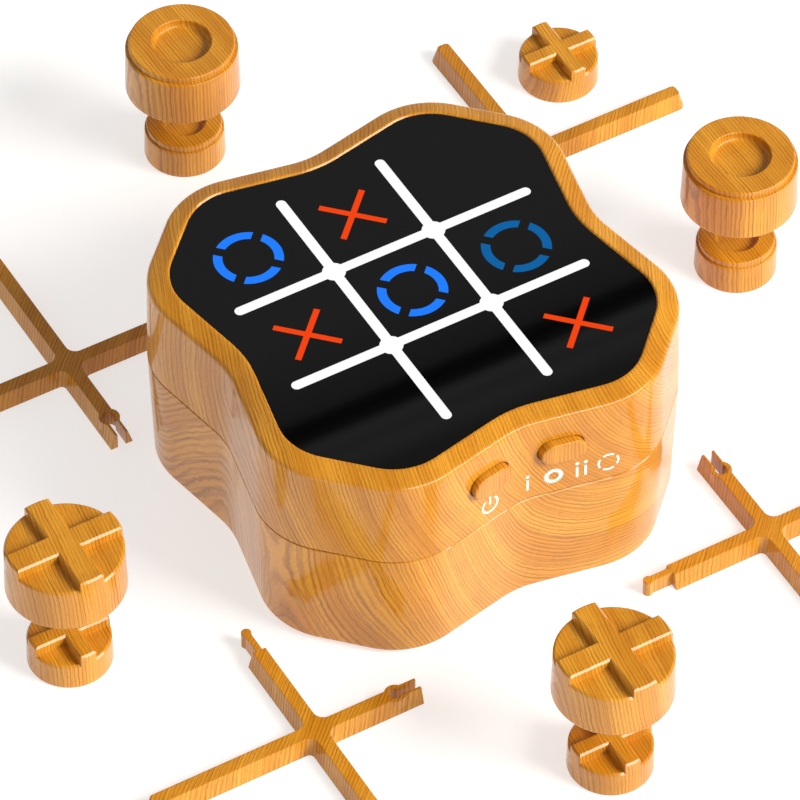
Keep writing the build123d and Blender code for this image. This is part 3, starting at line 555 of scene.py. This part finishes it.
def makeSteel(name):
    colour, rough = steelLook[name]
    r = Recipe(name)
    brushed = r.noise(r.vectors("MULTIPLY", r.place(), steelLook["lineStretch"]), steelLook["lineScale"])
    stain = r.noise(r.place(), steelLook["stainScale"])
    lowest, span = steelLook["roughSpread"]
    return r.finish(colour=r.mix(stain, colour, tuple(c * steelLook["stain"] for c in colour)), metal=1.0,
                    rough=rough + lowest + span * brushed,
                    normal=r.bump(brushed, steelLook["relief"], steelLook["reliefDepth"]))


jacketLook = {
    "dark": (0.010, 0.012, 0.016),
    "stripe": (0.06, 0.065, 0.07),
    "copper": (0.42, 0.17, 0.045),
    "steel": (0.55, 0.55, 0.56),
    "copperFrom": (9.5 * mm, 9.8 * mm),    # along the cell from its middle
    "steelFrom": (22.2 * mm, 22.4 * mm),
    "stripeGap": 4.0 * mm,
    "stripeWidth": 0.6 * mm,
    "stripeStrength": 0.35,
    "scuffScale": 400.0,
    "rough": 0.25,
    "scuffRough": 0.15,
    "metal": 0.15,
    "copperMetal": 0.75,
    "coat": 0.3,
}


def makeCellJacket():
    low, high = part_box("battery_cells")
    r = Recipe("cellJacket")
    x, y, _ = r.split(r.place())
    # the middle one of three cells points the other way
    middle = r.maths("LESS_THAN", r.maths("ABSOLUTE", y - (low[1] + high[1]) / 2), (high[1] - low[1]) / 6)
    side = x * (1.0 - 2.0 * middle)
    copper = r.between(side, *jacketLook["copperFrom"])
    steel = r.between(side, *jacketLook["steelFrom"])
    stripe = r.maths("LESS_THAN", r.maths("PINGPONG", side, jacketLook["stripeGap"]),
                     jacketLook["stripeWidth"])
    scuff = r.noise(r.place(), jacketLook["scuffScale"], detail=3.0)
    body = r.mix(stripe * jacketLook["stripeStrength"], jacketLook["dark"], jacketLook["stripe"])
    body = r.mix(copper, body, jacketLook["copper"])
    body = r.mix(steel, body, jacketLook["steel"])
    return r.finish(colour=body, rough=jacketLook["rough"] + jacketLook["scuffRough"] * scuff,
                    metal=jacketLook["metal"] + jacketLook["copperMetal"] * copper, coat=jacketLook["coat"])


def dress(names, material):
    for name in names:
        mesh = nodes[name].data
        if len(mesh.materials) == 0:
            mesh.materials.append(material)
        for slot in nodes[name].material_slots:
            slot.material = material


dress(["upper_shell"], makeWood("upperShellWood"))
dress(["lower_shell"], makeWood("lowerShellWood"))
dress([name for name in nodes if name.startswith("grid_cross_")], makeWood("gridBarWood"))
dress([name for name in nodes if "_nought_" in name], makeWood("noughtWood"))
dress([name for name in nodes if name.startswith(("small_cross_", "large_cross_"))],
      makeWood("crossPieceWood"))
dress(["power_button", "mode_button"], makeWood("buttonWood"))
print("wood made")

dress(["screen_lens"], makeBlackLens())
dress(["grid_lines"], makeGlow("whiteGlow"))
dress(["bright_noughts"], makeGlow("blueGlow"))
dress(["dim_nought"], makeGlow("dimBlueGlow"))
dress(["red_crosses"], makeGlow("redGlow"))
print("screen made")

dress(["touch_film"], makeMoulded("clearFilm"))
dress(["light_baffle", "speaker_cone"], makeMoulded("whitePlastic"))
dress(["led_board", "main_board", "button_board"], makeCircuit())
dress(["cell_leds"], makeMoulded("ledResin"))
dress(["led_driver", "controller_chip"], makeMoulded("chipResin"))
dress(["case_screws", "display_screws", "board_screws", "button_board_screws", "door_screw"],
      makeSteel("screwSteel"))
dress(["press_switches", "board_connectors", "power_plunger", "mode_plunger"], makeMoulded("switchPlastic"))
dress(["battery_cells"], makeCellJacket())
dress(["contact_plates", "contact_springs"], makeSteel("contactMetal"))
dress(["battery_door"], makeMoulded("doorPlastic"))
dress(["speaker"], makeSteel("speakerSteel"))
dress(["rubber_feet"], makeMoulded("footRubber"))
print("other finishes made")


iconSet = {
    "level": 5.25 * mm,        # above the upper shell's lower edge
    "line": 0.50 * mm,
    "film": 0.08 * mm,
    "standOff": 4.0 * mm,      # where a patch starts, before it is dropped onto the wall
    "power": -9.1 * mm,        # places from the middle of the front wall
    "onePlayer": 1.38 * mm,
    "lamp": 7.54 * mm,
    "twoPlayers": (13.05 * mm, 15.03 * mm),
    "brokenRing": 20.4 * mm,
    "powerReach": 2.4 * mm,
    "powerGap": 38.0,          # degrees, each way from the top
    "powerStem": (0.1 * mm, 2.7 * mm),
    "headRise": 2.0 * mm,
    "headRadius": 0.45 * mm,
    "bodySpan": (-2.35 * mm, 0.95 * mm),
    "bodyWidth": 0.58 * mm,
    "lampReach": 2.12 * mm,
    "lampHole": 1.25 * mm,
    "lampTeeth": 24,
    "lampTooth": 0.20 * mm,
    "ringReach": 2.6 * mm,
    "ringOpening": 13.0,       # degrees, each way from a break
    "ringBreak": 45.0,         # where the first break is
}


def ringPatch(x, z, inner, outer, start=0.0, end=2 * math.pi, steps=96, teeth=0, tooth=0.0):
    # point(angle, share) = centre + (inner + (outer - inner) * share) * (cos angle, sin angle);
    # with teeth, the outer radius swings in and out by tooth
    steepness = 2.5
    angle = np.linspace(start, end, steps + 1)[:, None]
    share = np.linspace(0.0, 1.0, 4)[None, :]
    edge = outer + tooth * np.tanh(steepness * np.sin(teeth * angle))
    reach = inner + (edge - inner) * share
    return np.stack([x + reach * np.cos(angle), z + reach * np.sin(angle)], axis=-1)


def barPatch(x, low, high, width, steps=14):
    # point(height, side) = x + side * half width, where the half width follows a circle at both round ends
    half = width / 2
    turn = np.linspace(0.02, 1.0, steps) * (math.pi / 2)
    ends = half * np.sin(turn)
    rise = half - half * np.cos(turn)
    height = np.concatenate([low + rise, high - rise[::-1]])[:, None]
    reach = np.concatenate([ends, ends[::-1]])[:, None]
    side = np.linspace(-1.0, 1.0, 5)[None, :]
    return np.stack([x + reach * side, height + 0.0 * side], axis=-1)


def dotPatch(x, z, radius, steps=12):
    # a square grid (u, v) pressed into a disc: u * sqrt(1 - v^2 / 2), v * sqrt(1 - u^2 / 2)
    u, v = np.meshgrid(np.linspace(-1, 1, steps), np.linspace(-1, 1, steps), indexing="ij")
    across = x + radius * u * np.sqrt(1 - v * v / 2)
    upright = z + radius * v * np.sqrt(1 - u * u / 2)
    return np.stack([across, upright], axis=-1)


def playerPatches(x, level):
    # a head over a body
    low, high = iconSet["bodySpan"]
    return [dotPatch(x, level + iconSet["headRise"], iconSet["headRadius"]),
            barPatch(x, level + low, level + high, iconSet["bodyWidth"])]


def printOnWall(name, patches, material):
    # every patch is dropped straight onto the wall, then thickened to a film
    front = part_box("upper_shell")[0][1] - iconSet["standOff"]
    points, faces = [], []
    for patch in patches:
        rows, columns = patch.shape[:2]
        start = sum(len(block) for block in points)
        block = np.empty((rows * columns, 3))
        block[:, 0] = patch[..., 0].ravel()
        block[:, 1] = front
        block[:, 2] = patch[..., 1].ravel()
        points.append(block)
        grid = start + np.arange(rows * columns).reshape(rows, columns)
        quads = np.stack([grid[:-1, :-1], grid[1:, :-1], grid[1:, 1:], grid[:-1, 1:]], axis=-1).reshape(-1, 4)
        a, b, c = (block[quads[0, k] - start] for k in (0, 1, 2))
        if np.cross(b - a, c - b)[1] > 0:      # outwards is towards -Y
            quads = quads[:, ::-1]
        faces.append(quads)
    mesh = bpy.data.meshes.new(name)
    mesh.from_pydata(np.concatenate(points).tolist(), [], np.concatenate(faces).tolist())
    piece = bpy.data.objects.new(name, mesh)
    bpy.context.scene.collection.objects.link(piece)
    mesh.materials.append(material)
    drop = piece.modifiers.new("drop", "SHRINKWRAP")
    drop.target = nodes["upper_shell"]
    drop.wrap_method = "PROJECT"
    drop.use_project_y = True
    drop.use_positive_direction = True
    film = piece.modifiers.new("film", "SOLIDIFY")
    film.thickness = iconSet["film"]
    film.offset = 0.0
    bpy.context.view_layer.update()
    settled = bpy.data.meshes.new_from_object(piece.evaluated_get(bpy.context.evaluated_depsgraph_get()))
    piece.modifiers.clear()
    piece.data = settled
    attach(piece, "console")


def printIcons():
    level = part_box("upper_shell")[0][2] + iconSet["level"]
    line = iconSet["line"]
    ink = makeMoulded("whiteInk")
    reach = iconSet["powerReach"]
    gap = math.radians(iconSet["powerGap"])
    stemLow, stemHigh = iconSet["powerStem"]
    printOnWall("icon_power", [
        ringPatch(iconSet["power"], level, reach - line, reach, math.pi / 2 + gap, 2.5 * math.pi - gap),
        barPatch(iconSet["power"], level + stemLow, level + stemHigh, line),
    ], ink)
    printOnWall("icon_one_player", playerPatches(iconSet["onePlayer"], level), ink)
    printOnWall("icon_two_players",
                [patch for x in iconSet["twoPlayers"] for patch in playerPatches(x, level)], ink)
    printOnWall("icon_lamp", [
        ringPatch(iconSet["lamp"], level, iconSet["lampHole"], iconSet["lampReach"], steps=288,
                  teeth=iconSet["lampTeeth"], tooth=iconSet["lampTooth"]),
    ], ink)
    outer = iconSet["ringReach"]
    opening = math.radians(iconSet["ringOpening"])
    breaks = [math.radians(iconSet["ringBreak"] + 90 * k) for k in range(4)]
    printOnWall("icon_broken_ring", [
        ringPatch(iconSet["brokenRing"], level, outer - line, outer, start + opening,
                  start + math.pi / 2 - opening, steps=28) for start in breaks
    ], ink)


printIcons()
print("icons printed")
